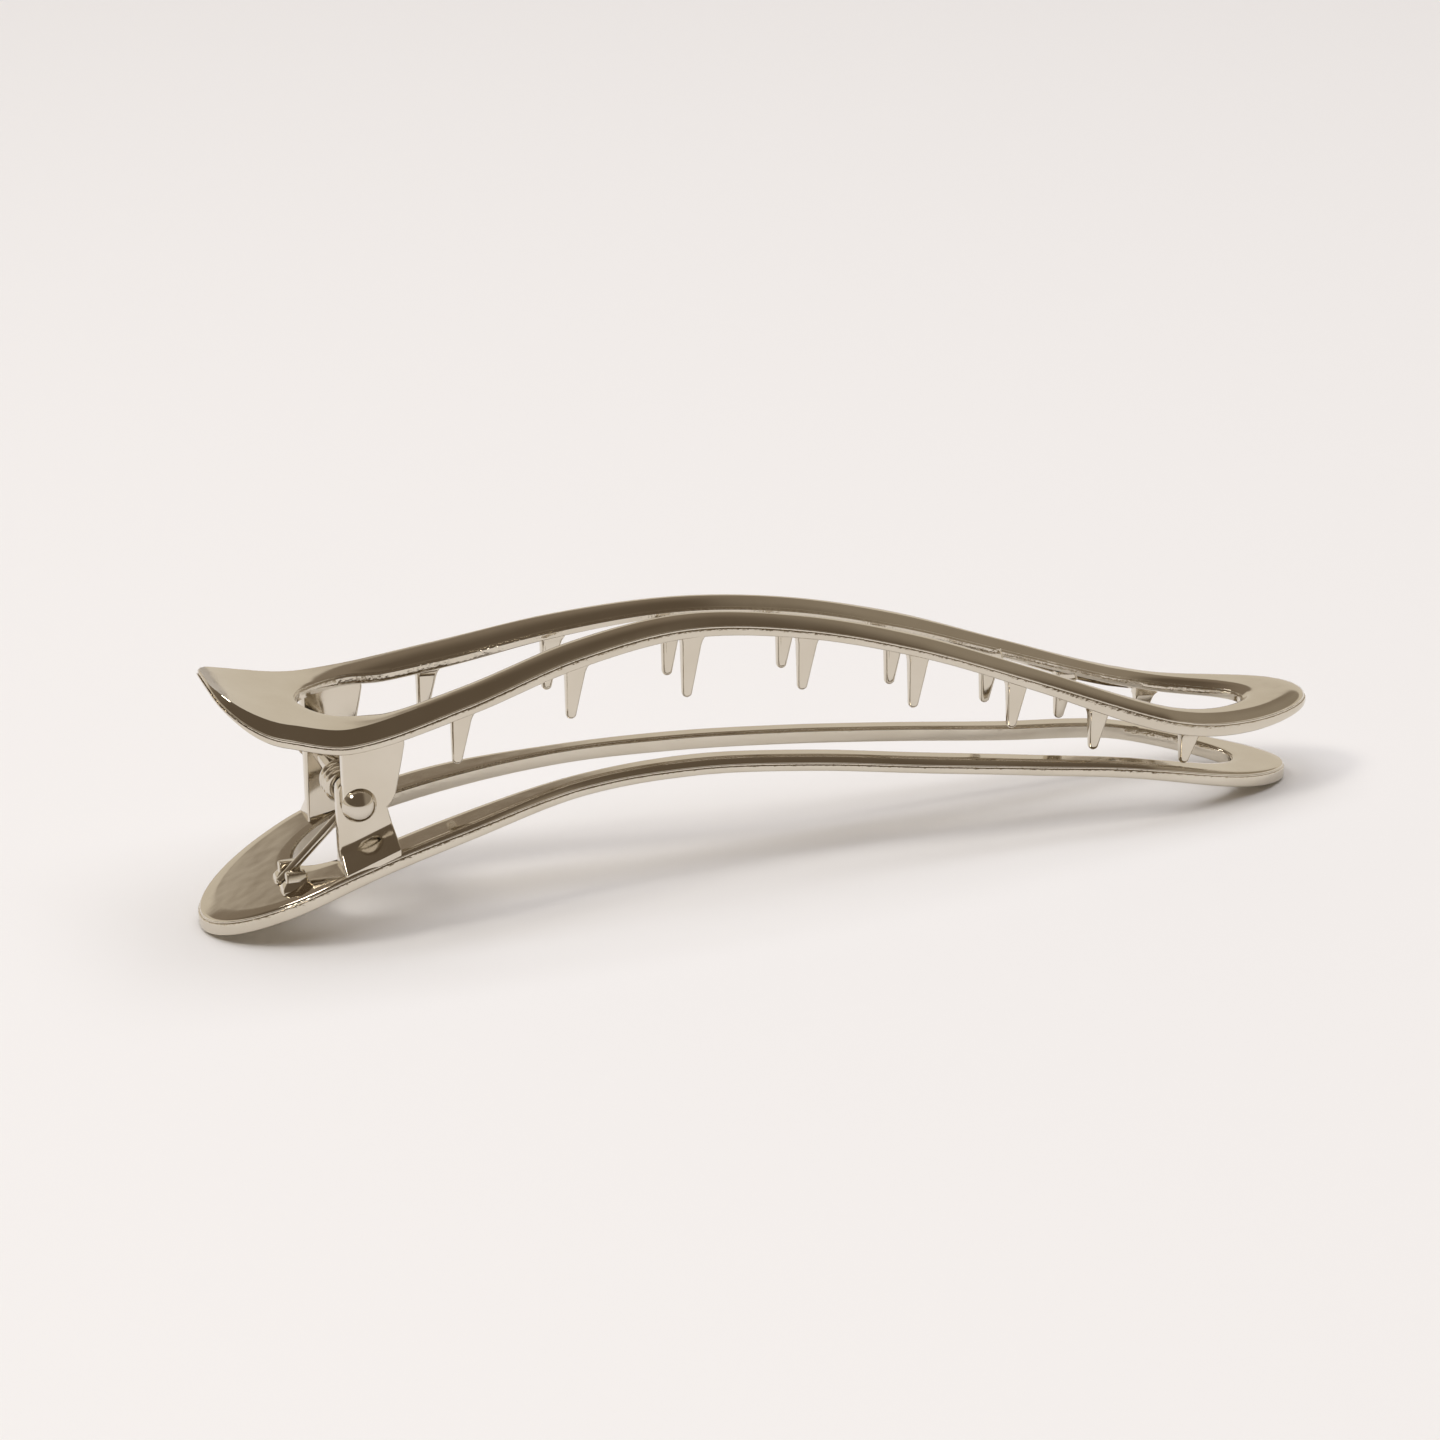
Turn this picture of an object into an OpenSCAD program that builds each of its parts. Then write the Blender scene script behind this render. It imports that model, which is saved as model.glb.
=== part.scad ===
// Alligator hair clip: two die-cast open-frame jaws on one rivet, closed by a torsion spring.
// Millimetres. +X runs from the thumb plates to the tips, +Y to the far side, +Z up.
// The clip is closed and rests on the lower jaw's tail end and tip, at z = 0.

/* [Hinge] */
// height of the hinge rivet's axis above the surface
pin_z = 14.5; // [12:0.1:17]
// distance of the hinge rivet's axis behind the middle of the clip
pin_back = 44.6; // [42:0.1:47]
// diameter of the rivet's shaft
pin_d = 1.8; // [1.4:0.1:2.4]
// clearance on the radius between the rivet's shaft and the lower jaw's ears
pin_play = 0.05; // [0.01:0.01:0.1]
// diameter of the rivet's domed heads
head_d = 3.5; // [3:0.1:4.5]
// height of the rivet's domed heads
head_h = 1.3; // [0.8:0.1:1.7]

/* [Ears] */
// distance from the middle plane to the outer face of the upper jaw's ears
ear_out = 8.9; // [8:0.1:9.2]
// thickness of the upper jaw's ears
upper_ear_t = 1.6; // [1:0.1:2]
// thickness of the lower jaw's ears
lower_ear_t = 1.4; // [1:0.1:2]
// gap between an upper ear and the lower ear inside it
ear_gap = 0.2; // [0.1:0.05:0.4]
// length of an upper ear along the clip, where it meets its frame
upper_ear_len = 6.2; // [4:0.1:8]
// length of a lower ear along the clip, where it meets its frame
lower_ear_len = 5.7; // [4:0.1:8]

/* [Frames] */
// half length of the clip
half_len = 59; // [50:0.5:65]
// half width of the upper frame at the ears
upper_half_w = 9.5; // [8:0.1:11]
// half width of the lower frame at the ears
lower_half_w = 9.5; // [8:0.1:11]
// thickness of the lower frame
lower_t = 1.6; // [1:0.1:2.5]
// width of the rails of the lower frame in front of the ears
lower_rail = 2.5; // [1.8:0.1:3.5]

/* [Teeth] */
// length of a tooth's root along the clip
tooth_root = 2.2; // [1.5:0.1:3]
// width of a tooth across the clip
tooth_w = 1.4; // [1:0.1:2]
// diameter of a tooth's round tip
tooth_tip = 1; // [0.5:0.1:1.2]

/* [Spring] */
// diameter of the spring wire
wire_d = 0.9; // [0.6:0.05:1.2]
// mean diameter of the spring's coil
coil_d = 3.1; // [2.9:0.05:4]
// number of whole turns in the spring's coil
coil_turns = 3; // [2:1:4]
// distance of the spring's lower leg from the middle plane, on the near side
lower_leg_in = 3.8; // [3.6:0.1:4.4]
// distance along the rivet from the spring's lower leg to its upper leg
coil_len = 3.3; // [3.3:0.1:4.5]

/* [Hidden] */

pin_x = -pin_back;
lower_tip = 56.8;
tall = 60;
step = 1.5;
plated = [0.78, 0.72, 0.62];
steel = [0.62, 0.58, 0.52];

// Curves are smooth lines through a few stations, each [x, value].
upper_top = [[-57.5, 26.5], [-54.5, 24.7], [-51, 23.4], [-45, 22.4], [-33, 24.2], [-21, 26.55],
             [-9, 27.3], [3, 25.6], [15, 22.15], [27, 17.3], [39, 12.35], [45, 10.6],
             [51, 9.9], [half_len, 9.8]];
upper_thick = [[-57.5, 1], [-54, 2.2], [-51, 2.35], [-45, 2.35], [-33, 2.4], [-21, 2.3], [-9, 2.1],
               [15, 2], [27, 2.15], [36, 2.4], [45, 2.25], [51, 2.1], [half_len, 1.7]];
upper_side = [[-51, 8.4], [-45, upper_half_w], [-33, 8], [-21, 5.7], [-9, 4.1], [3, 4.3],
              [15, 5.1], [27, 5.7], [41, 7.6]];
upper_slot = [[-41, 5.6], [-33, 4.5], [-21, 2.3], [-9, 1.2], [3, 1.6], [15, 2], [27, 3.2],
              [41, 4.6]];
lower_top = [[-half_len, 1.8], [-51, 5.3], [-45, 7.7], [-33, 10.6], [-21, 12.3], [-9, 12.4],
             [3, 11.3], [15, 9.6], [27, 7.8], [39, 6], [51, 2.8], [lower_tip, 1.6]];
lower_side = [[-45, lower_half_w], [-33, 8.4], [-21, 5.7], [-9, 4.8], [3, 5.1], [15, 5.9],
              [27, 6.4], [39, 7.4]];
lower_slot = [[-42, 5.2], [-33, 4.5], [-21, 5.7 - lower_rail], [-9, 4.8 - lower_rail],
              [3, 5.1 - lower_rail], [15, 5.9 - lower_rail], [27, 6.4 - lower_rail],
              [39, 7.4 - lower_rail]];
tail_cut = -57.5;
upper_tail_len = 6.9;
upper_nose_len = 18;
upper_slot_tail = 7.2;
upper_slot_nose = 10.8;
lower_tail_len = 14;
lower_nose_len = lower_tip - 39;
lower_slot_tail = 7.3;
lower_slot_nose = 11.8;

// Each tooth: [x of its upright tail-side edge, distance from the middle plane, length].
teeth = [[-34.5, 6.4, 5.3], [-22.2, 4.2, 5.65], [-9.9, 3.2, 6.4], [2.2, 3.2, 5.6],
         [13.9, 3.5, 5.7], [24.4, 3.8, 4.9], [33, 4.7, 4.3], [42.5, 6, 3.35]];

// slope of a line of stations at station i
function slope(s, i) =
    i == 0 ? (s[1][1] - s[0][1]) / (s[1][0] - s[0][0])
    : i == len(s) - 1 ? (s[i][1] - s[i - 1][1]) / (s[i][0] - s[i - 1][0])
    : (s[i + 1][1] - s[i - 1][1]) / (s[i + 1][0] - s[i - 1][0]);
// the last station at or before x, but never the very last
function span(s, x, i = 0) = (i >= len(s) - 2 || x < s[i + 1][0]) ? i : span(s, x, i + 1);
function hermite(a, b, ma, mb, w, t) =
    (2 * t^3 - 3 * t^2 + 1) * a + (t^3 - 2 * t^2 + t) * w * ma
    + (3 * t^2 - 2 * t^3) * b + (t^3 - t^2) * w * mb;
// value at x on the smooth line through the stations
function along(s, x) =
    let (i = span(s, x), w = s[i + 1][0] - s[i][0], t = max(0, min(1, (x - s[i][0]) / w)))
    hermite(s[i][1], s[i + 1][1], slope(s, i), slope(s, i + 1), w, t);
function steps(a, b, n) = [for (i = [0:n]) a + (b - a) * i / n];

function upper_z(x) = along(upper_top, x);
function upper_under(x) = upper_z(x) - along(upper_thick, x);
function lower_z(x) = along(lower_top, x);

// the top edge of a plan outline: half ellipse at the tail, stations, half ellipse at the nose
function plan_edge(s, tail, nose) =
    let (a = s[0], b = s[len(s) - 1], n = round((b[0] - a[0]) / step))
    concat([for (t = [0:6:84]) [a[0] - tail * cos(t), a[1] * sin(t)]],
           [for (x = steps(a[0], b[0], n)) [x, along(s, x)]],
           [for (t = [84:-6:0]) [b[0] + nose * cos(t), b[1] * sin(t)]]);
function mirrored(p) = [for (i = [len(p) - 1:-1:0]) [p[i][0], -p[i][1]]];

module plan(s, tail, nose) {
    edge = plan_edge(s, tail, nose);
    polygon(concat(edge, mirrored(edge)));
}

// a shape drawn in x and z, made y0 to y1 wide
module across(y0, y1) {
    translate([0, y1, 0]) rotate([90, 0, 0]) linear_extrude(y1 - y0) children();
}

// a shape drawn in y and z, made x0 to x1 long
module lengthways(x0, x1) {
    translate([x0, 0, 0]) rotate([90, 0, 90]) linear_extrude(x1 - x0) children();
}

band_steps = 78;
module upper_band() {
    xs = steps(tail_cut, half_len, band_steps);
    polygon(concat([for (x = xs) [x, upper_z(x)]],
                   [for (i = [len(xs) - 1:-1:0]) [xs[i], upper_under(xs[i])]]));
}

// the lower frame's top line, and its underside one thickness square to it, flat at the ends
module lower_band() {
    xs = steps(-half_len, lower_tip, band_steps);
    polygon(concat([for (x = xs) [x, lower_z(x)]],
                   [for (i = [len(xs) - 1:-1:0]) [xs[i], max(0, lower_z(xs[i]) - lower_drop(xs[i]))]]));
}
function lower_drop(x) = lower_t * sqrt(1 + pow((lower_z(x + 0.1) - lower_z(x - 0.1)) / 0.2, 2));

// everything from the upper frame's underside up, between two places along the clip
short_steps = 8;
module over_upper(x0, x1) {
    xs = steps(x0, x1, short_steps);
    across(-tall, tall) polygon(concat([for (x = xs) [x, upper_under(x)]], [[x1, tall], [x0, tall]]));
}

// everything from the lower frame's top down, between two places along the clip
module under_lower(x0, x1) {
    xs = steps(x0, x1, short_steps);
    across(-tall, tall) polygon(concat([for (x = xs) [x, lower_z(x)]], [[x1, -tall], [x0, -tall]]));
}

module upper_frame() {
    color(plated) intersection() {
        across(-tall, tall) upper_band();
        linear_extrude(tall) difference() {
            plan(upper_side, upper_tail_len, upper_nose_len);
            plan(upper_slot, upper_slot_tail, upper_slot_nose);
        }
    }
}

module lower_frame() {
    color(plated) intersection() {
        across(-tall, tall) lower_band();
        linear_extrude(tall) difference() {
            plan(lower_side, lower_tail_len, lower_nose_len);
            plan(lower_slot, lower_slot_tail, lower_slot_nose);
        }
    }
}

// a tooth's outline: upright on the tail side, slanted on the tip side, round at the bottom
module tooth_outline(x, root_z, len) {
    r = tooth_tip / 2;
    tip_z = root_z - len;
    polygon([[x, root_z + 1], [x + tooth_root, root_z + 1], [x + tooth_root, root_z],
             [x + tooth_tip, tip_z + r], [x, tip_z + r]]);
    translate([x + r, tip_z + r]) circle(d = tooth_tip, $fn = 24);
}

module tooth_row(side) {
    color(plated) for (t = teeth) {
        difference() {
            across(side * t[1] - tooth_w / 2, side * t[1] + tooth_w / 2)
                tooth_outline(t[0], upper_under(t[0] + tooth_root / 2), t[2]);
            over_upper(t[0] - 1, t[0] + tooth_root + 1);
        }
    }
}
module upper_teeth_near() { tooth_row(-1); }
module upper_teeth_far() { tooth_row(1); }

// an upper ear hangs from the frame and narrows downwards, with a round lobe about the rivet
upper_ear_behind = 1.4;
upper_ear_narrows = 1.1;
upper_ear_corner = 0.8;
upper_ear_straight_z = 20;
upper_ear_root_z = 24;
upper_ear_shelf = 0.45;
lobe_r = 1.6;
module upper_ear(side) {
    back = pin_x - upper_ear_behind;
    front = back + upper_ear_len;
    low_front = front - upper_ear_narrows;
    shelf = pin_z - upper_ear_shelf;
    y0 = side > 0 ? ear_out - upper_ear_t : -ear_out;
    color(plated) difference() {
        union() {
            across(y0, y0 + upper_ear_t)
                polygon([[back, shelf], [back, upper_ear_root_z], [front, upper_ear_root_z],
                         [front, upper_ear_straight_z], [low_front, shelf + upper_ear_corner],
                         [low_front - upper_ear_corner, shelf]]);
            across(y0, y0 + upper_ear_t) translate([pin_x, pin_z]) circle(r = lobe_r, $fn = 48);
        }
        across(-tall, tall) translate([pin_x, pin_z]) circle(d = pin_d, $fn = 48);
        over_upper(back - 1, front + 1);
    }
}
module upper_ear_near() { upper_ear(-1); }
module upper_ear_far() { upper_ear(1); }

// a lower ear stands on its rail, with a foot that flares out to the frame's edge
lower_ear_behind = 1.7;
lower_ear_above = 2;
lower_ear_narrows = 0.8;
lower_ear_waist = 1;
lower_ear_corner = 0.8;
lower_ear_front_corner = 1.2;
lower_ear_base_z = 5;
foot_out = 2.1;
foot_z = 7.2;
foot_neck_z = 9.3;
module lower_ear(side) {
    back = pin_x - lower_ear_behind;
    front = back + lower_ear_len;
    waist_front = front - lower_ear_narrows;
    outer = ear_out - upper_ear_t - ear_gap;
    inner = outer - lower_ear_t;
    top = pin_z + lower_ear_above;
    color(plated) difference() {
        intersection() {
            across(-tall, tall) {
                polygon([[back, lower_ear_base_z], [front, lower_ear_base_z],
                         [waist_front, pin_z - lower_ear_waist],
                         [waist_front - lower_ear_front_corner, top],
                         [back + lower_ear_corner, top], [back, top - lower_ear_corner]]);
            }
            lengthways(back - 1, front + 1) scale([side, 1])
                polygon([[inner, lower_ear_base_z - 1], [outer + foot_out, lower_ear_base_z - 1],
                         [outer + foot_out, foot_z], [outer, foot_neck_z], [outer, top + 1],
                         [inner, top + 1]]);
        }
        across(-tall, tall) translate([pin_x, pin_z]) circle(d = pin_d + 2 * pin_play, $fn = 48);
        under_lower(back - 1, front + 1);
    }
}
module lower_ear_near() { lower_ear(-1); }
module lower_ear_far() { lower_ear(1); }

// two low walls, one each side of a spring leg
stop_x = -51.4;
stop_len = 2.1;
stop_h = 1.4;
stop_gap = 2;
stop_t = 1;
upper_leg_y = coil_len - lower_leg_in;
module stop_walls(y) {
    for (side = [-1, 1]) {
        y0 = y + side * (stop_gap + stop_t) / 2 - stop_t / 2;
        translate([stop_x, y0, 0]) cube([stop_len, stop_t, tall]);
    }
}
module lower_spring_stops() {
    color(plated) difference() {
        intersection() {
            stop_walls(-lower_leg_in);
            translate([0, 0, stop_h]) under_lower(stop_x - 1, stop_x + stop_len + 1);
        }
        under_lower(stop_x - 1, stop_x + stop_len + 1);
    }
}
module upper_spring_stops() {
    color(plated) difference() {
        intersection() {
            stop_walls(upper_leg_y);
            translate([0, 0, -stop_h]) over_upper(stop_x - 1, stop_x + stop_len + 1);
        }
        over_upper(stop_x - 1, stop_x + stop_len + 1);
    }
}

// one domed head, standing on the plane z = 0
module rivet_head() {
    r = head_d / 2;
    ball = (r * r + head_h * head_h) / (2 * head_h);
    rotate_extrude($fn = 64) intersection() {
        translate([0, head_h - ball]) circle(r = ball, $fn = 96);
        square([r, head_h]);
    }
}
module hinge_rivet() {
    color(plated) translate([pin_x, 0, pin_z]) {
        rotate([90, 0, 0]) cylinder(h = 2 * ear_out, d = pin_d, center = true, $fn = 48);
        for (side = [-1, 1]) {
            translate([0, side * ear_out, 0]) rotate([-90 * side, 0, 0]) rivet_head();
        }
    }
}

// The spring's middle line: lower leg, coil, upper leg. Angles are about the rivet, from +X to +Z.
// Each leg leaves the coil at its front, square to the radius there, and runs to the tail.
coil_r = coil_d / 2;
wire_r = wire_d / 2;
lower_leg_turn = -46;
upper_leg_turn = 55;
lower_leg_len = 11.3;
upper_leg_len = 8.2;
turn_steps = 18;
function around(a, y) = [pin_x + coil_r * cos(a), y, pin_z + coil_r * sin(a)];
function off_coil(a, dir, len, y) = around(a, y) + len * dir * [-sin(a), 0, cos(a)];
coil_angle = 360 * coil_turns + upper_leg_turn - lower_leg_turn;
coil_steps = round(coil_angle / 360 * turn_steps);
spring_line = concat(
    [off_coil(lower_leg_turn, -1, lower_leg_len, -lower_leg_in)],
    [for (i = [0:coil_steps])
        around(lower_leg_turn + coil_angle * i / coil_steps,
               coil_len * i / coil_steps - lower_leg_in)],
    [off_coil(upper_leg_turn, 1, upper_leg_len, upper_leg_y)]);

// a ring of points about point i of a line that stays close to planes of constant y
wire_sides = 8;
function heading(p, i) =
    let (d = p[min(i + 1, len(p) - 1)] - p[max(i - 1, 0)])
    d / norm(d);
function wire_ring(p, i, r) =
    let (d = heading(p, i), u = cross(d, [0, 1, 0]) / norm(cross(d, [0, 1, 0])), v = cross(u, d))
    [for (k = [0:wire_sides - 1]) p[i] + r * (cos(k * 360 / wire_sides) * u
                                             + sin(k * 360 / wire_sides) * v)];
module wire(p, r) {
    n = len(p);
    m = wire_sides;
    points = [for (i = [0:n - 1]) each wire_ring(p, i, r)];
    sides = [for (i = [0:n - 2], k = [0:m - 1])
        [i * m + k, i * m + (k + 1) % m, (i + 1) * m + (k + 1) % m, (i + 1) * m + k]];
    first = [for (k = [m - 1:-1:0]) k];
    last = [for (k = [0:m - 1]) (n - 1) * m + k];
    polyhedron(points, concat([first], sides, [last]));
}
module torsion_spring() { color(steel) wire(spring_line, wire_r); }

upper_frame();
upper_teeth_near();
upper_teeth_far();
upper_ear_near();
upper_ear_far();
upper_spring_stops();
lower_frame();
lower_ear_near();
lower_ear_far();
lower_spring_stops();
hinge_rivet();
torsion_spring();
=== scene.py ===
"""Alligator hair clip: two plated die-cast jaws on one rivet, closed by a torsion spring.

Lengths are written in millimetres and turned to metres where a mesh is made. +X runs from the thumb
plates to the tips, +Y to the far side, +Z up, and the clip rests closed on z = 0.
"""

import math

import bmesh
import bpy
import numpy as np
from mathutils import Matrix, Vector


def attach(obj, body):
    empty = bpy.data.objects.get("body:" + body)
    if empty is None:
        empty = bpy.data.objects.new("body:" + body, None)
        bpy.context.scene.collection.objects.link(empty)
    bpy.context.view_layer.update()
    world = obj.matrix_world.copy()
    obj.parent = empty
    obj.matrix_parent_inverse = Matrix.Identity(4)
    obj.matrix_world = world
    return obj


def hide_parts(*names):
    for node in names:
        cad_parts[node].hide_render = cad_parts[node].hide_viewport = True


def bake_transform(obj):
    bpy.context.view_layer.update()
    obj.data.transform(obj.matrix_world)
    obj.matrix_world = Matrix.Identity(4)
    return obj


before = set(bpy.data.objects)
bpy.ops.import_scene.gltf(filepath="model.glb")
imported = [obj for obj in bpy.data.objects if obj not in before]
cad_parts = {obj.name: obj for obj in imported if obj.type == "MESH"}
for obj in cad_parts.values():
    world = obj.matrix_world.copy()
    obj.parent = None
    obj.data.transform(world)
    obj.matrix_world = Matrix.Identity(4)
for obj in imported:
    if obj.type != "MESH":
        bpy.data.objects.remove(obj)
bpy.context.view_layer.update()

MM = 0.001

# ---------------------------------------------------------------- curves of the two castings
PIN_X, PIN_Z = -44.6, 14.5
TAIL_END = -57.5

# Every list holds stations along a smooth line, each (x, value): heights of the two jaws' tops, how
# deep the upper jaw is, and half widths of the outlines and of the slots.
UPPER_CREST = [(-57.5, 26.5), (-54.5, 24.7), (-51, 23.4), (-45, 22.4), (-33, 24.2), (-21, 26.55),
               (-9, 27.3), (3, 25.6), (15, 22.15), (27, 17.3), (39, 12.35), (45, 10.6), (51, 9.9),
               (59, 9.8)]
UPPER_DEPTH = [(-57.5, 0.8), (-56.8, 1.4), (-54, 2.2), (-51, 2.35), (-45, 2.35), (-33, 2.4),
               (-21, 2.3), (-9, 2.1), (15, 2), (27, 2.15), (36, 2.4), (45, 2.25), (51, 2.1),
               (59, 1.7)]
UPPER_SIDE = [(-51, 8.4), (-45, 9.5), (-33, 8), (-21, 5.7), (-9, 4.1), (3, 4.3), (15, 5.1),
              (27, 5.7), (41, 7.6)]
UPPER_SLOT = [(-41, 5.6), (-33, 4.5), (-21, 2.3), (-9, 1.2), (3, 1.6), (15, 2), (27, 3.2),
              (41, 4.6)]
LOWER_TOP = [(-59, 1.8), (-51, 5.3), (-45, 7.7), (-33, 10.6), (-21, 12.3), (-9, 12.4), (3, 11.3),
             (15, 9.6), (27, 7.8), (39, 6), (51, 2.8), (56.8, 1.6)]
LOWER_SIDE = [(-45, 9.5), (-33, 8.4), (-21, 5.7), (-9, 4.8), (3, 5.1), (15, 5.9), (27, 6.4),
              (39, 7.4)]
LOWER_SLOT = [(-42, 5.2), (-33, 4.5), (-21, 3.2), (-9, 2.3), (3, 2.6), (15, 3.4), (27, 3.9),
              (39, 4.9)]
LOWER_THICK = 1.6
# size of the lower frame's rounded upper edge
LOWER_EDGE = [(-59, 0.22), (-45, 0.28), (-33, 0.45), (-21, 0.62), (15, 0.68), (39, 0.45),
              (56.8, 0.15)]
# length of each outline's half-ellipse ends
UPPER_TAIL, UPPER_NOSE, UPPER_SLOT_TAIL, UPPER_SLOT_NOSE = 6.9, 18, 7.2, 10.8
LOWER_TAIL, LOWER_NOSE, LOWER_SLOT_TAIL, LOWER_SLOT_NOSE = 14, 17.8, 7.3, 11.8
TAIL_CORNER = 0.8  # corner radius of the upper thumb plate's straight end

# The upper frame's rounded shoulder, from its outer lip to its crest: width, height, and its slope
# in degrees at the lip and where it meets the top.
SHOULDER_WIDE = [(-57.5, 0.12), (-56.8, 0.45), (-54, 0.8), (-45, 0.9), (-33, 1), (-21, 1.25),
                 (-9, 1.35), (15, 1.35), (27, 1.3), (39, 1.2), (48, 1.7), (59, 2.2)]
SHOULDER_TALL = [(-57.5, 0.2), (-56.8, 0.9), (-54, 1.4), (-51, 1.5), (-45, 1.5), (-33, 1.4),
                 (-21, 1.2), (-9, 1.05), (15, 1.05), (27, 1), (39, 0.85), (51, 0.8), (59, 0.8)]
SHOULDER_STEEP = [(-57, 66), (-33, 69), (-9, 69), (59, 66)]
SHOULDER_EASE = [(-57, 44), (-45, 44), (-33, 28), (-21, 12), (-9, 2), (59, 0)]
# How far the top dips to the slot's edge, over what width, and how tall the slot's wall is.
DIP_DEEP = [(-50, 0.03), (-45, 0.05), (-42, 0.25), (-38, 1), (-30, 1.2), (-21, 1.15), (-9, 1.05),
            (15, 1.05), (27, 0.95), (39, 0.75), (52, 0.6)]
DIP_WIDE = [(-50, 1), (-38, 2.2), (-30, 1.9), (-21, 1.6), (-9, 1.3), (27, 1.2), (39, 1.1),
            (52, 1.3)]
SLOT_WALL = [(-50, 1.15), (-33, 1.15), (-21, 0.95), (-9, 0.85), (27, 0.95), (45, 1.1)]

LIP = 0.2          # height of the narrow lip above the parting line
LEDGE = 0.14       # width of the step at the parting line
SKIRT = 1.1        # width of the deeper outer skirt of the upper frame
# the same for the lower frame, with the roundings of its slot's rim and of its foot
LOWER_LIP, LOWER_LEDGE, LOWER_RIM, LOWER_FOOT = 0.16, 0.14, 0.25, 0.35

# Each tooth: x of its upright tail-side edge, distance from the middle plane, length.
TEETH = [(-34.5, 6.4, 5.3), (-22.2, 4.2, 5.65), (-9.9, 3.2, 6.4), (2.2, 3.2, 5.6), (13.9, 3.5, 5.7),
         (24.4, 3.8, 4.9), (33, 4.7, 4.3), (42.5, 6, 3.35)]
# length and width of a tooth's root, and diameter of its tip
TOOTH_ROOT, TOOTH_WIDE, TOOTH_TIP = 2.2, 1.4, 1.0

# Ears: outer face of the upper ears, thicknesses, the gap between an upper and a lower ear, and for
# each how long it is, how far it starts behind the rivet and how much it narrows towards the rivet.
EAR_OUT, UPPER_EAR_T, LOWER_EAR_T, EAR_GAP = 8.9, 1.6, 1.4, 0.2
UPPER_EAR_LEN, UPPER_EAR_BEHIND, UPPER_EAR_NARROWS = 6.2, 1.4, 1.1
LOWER_EAR_LEN, LOWER_EAR_BEHIND, LOWER_EAR_NARROWS = 5.7, 1.7, 0.8
RIVET_D, HEAD_D, HEAD_H = 1.8, 3.5, 1.3
# The spring: its wire and coil, where its legs are, how each leg leaves the coil in degrees from +X
# to +Z, and how long it is.
WIRE_D, COIL_D, COIL_TURNS, LOWER_LEG_Y, COIL_LEN = 0.9, 3.1, 3, -3.8, 3.3
LOWER_LEG_TURN, UPPER_LEG_TURN, LOWER_LEG_LEN, UPPER_LEG_LEN = -46, 55, 11.3, 8.2
UPPER_LEG_Y = LOWER_LEG_Y + COIL_LEN


def along(stations, x):
    """Value at x on the smooth line through stations, each (x, value)."""
    at, value = np.array(stations, float).T
    slope = np.empty_like(value)
    slope[1:-1] = (value[2:] - value[:-2]) / (at[2:] - at[:-2])
    slope[0] = (value[1] - value[0]) / (at[1] - at[0])
    slope[-1] = (value[-1] - value[-2]) / (at[-1] - at[-2])
    i = np.clip(np.searchsorted(at, x, side="right") - 1, 0, len(at) - 2)
    wide = at[i + 1] - at[i]
    t = np.clip((x - at[i]) / wide, 0, 1)
    return ((2 * t**3 - 3 * t**2 + 1) * value[i] + (t**3 - 2 * t**2 + t) * wide * slope[i]
            + (3 * t**2 - 2 * t**3) * value[i + 1] + (t**3 - t**2) * wide * slope[i + 1])


def lower_depth(x):
    """The lower frame's thickness measured straight down."""
    near = 0.1
    slope = (along(LOWER_TOP, x + near) - along(LOWER_TOP, x - near)) / (2 * near)
    return LOWER_THICK * np.sqrt(1 + slope ** 2)


# ---------------------------------------------------------------- mesh helpers
def make_piece(name, points, faces, material, smooth_below=38):
    """A mesh object from points in millimetres, smooth except across edges sharper than an angle."""
    mesh = bpy.data.meshes.new(name)
    mesh.from_pydata([tuple(p) for p in np.asarray(points, float) * MM], [], faces)
    shape = bmesh.new()
    shape.from_mesh(mesh)
    bmesh.ops.recalc_face_normals(shape, faces=shape.faces)
    shape.to_mesh(mesh)
    shape.free()
    mesh.shade_smooth()
    mesh.set_sharp_from_angle(angle=math.radians(smooth_below))
    mesh.materials.append(material)
    piece = bpy.data.objects.new(name, mesh)
    bpy.context.scene.collection.objects.link(piece)
    return piece


def tube_faces(rings, around, closed=False):
    """Quads between rings of points, closed to a loop, or with an end cap on each side."""
    faces = []
    for i in range(rings if closed else rings - 1):
        a, b = i * around, (i + 1) % rings * around
        faces += [(a + j, a + (j + 1) % around, b + (j + 1) % around, b + j) for j in range(around)]
    if not closed:
        faces += [tuple(range(around))[::-1], tuple(range((rings - 1) * around, rings * around))]
    return faces


def join_parts(parts):
    """Puts (points, faces) parts together into one."""
    points, faces = [], []
    for part_points, part_faces in parts:
        start = len(points)
        points += [tuple(p) for p in part_points]
        faces += [tuple(start + i for i in face) for face in part_faces]
    return points, faces


def rounded_rectangle(x0, x1, y0, y1, radius, steps=5):
    radius = min(radius, (x1 - x0) / 2 * 0.98, (y1 - y0) / 2 * 0.98)
    ring = []
    for cx, cy, start in ((x1 - radius, y1 - radius, 0), (x0 + radius, y1 - radius, 90),
                          (x0 + radius, y0 + radius, 180), (x1 - radius, y0 + radius, 270)):
        for i in range(steps + 1):
            a = math.radians(start + 90 * i / steps)
            ring.append((cx + radius * math.cos(a), cy + radius * math.sin(a)))
    return ring


def stack(levels):
    """A solid through rounded rectangles, one for each level (z, x0, x1, y0, y1, corner radius)."""
    points = []
    for z, x0, x1, y0, y1, radius in levels:
        ring = rounded_rectangle(x0, x1, min(y0, y1), max(y0, y1), radius)
        points += [(x, y, z) for x, y in ring]
    return points, tube_faces(len(levels), len(points) // len(levels))


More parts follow.
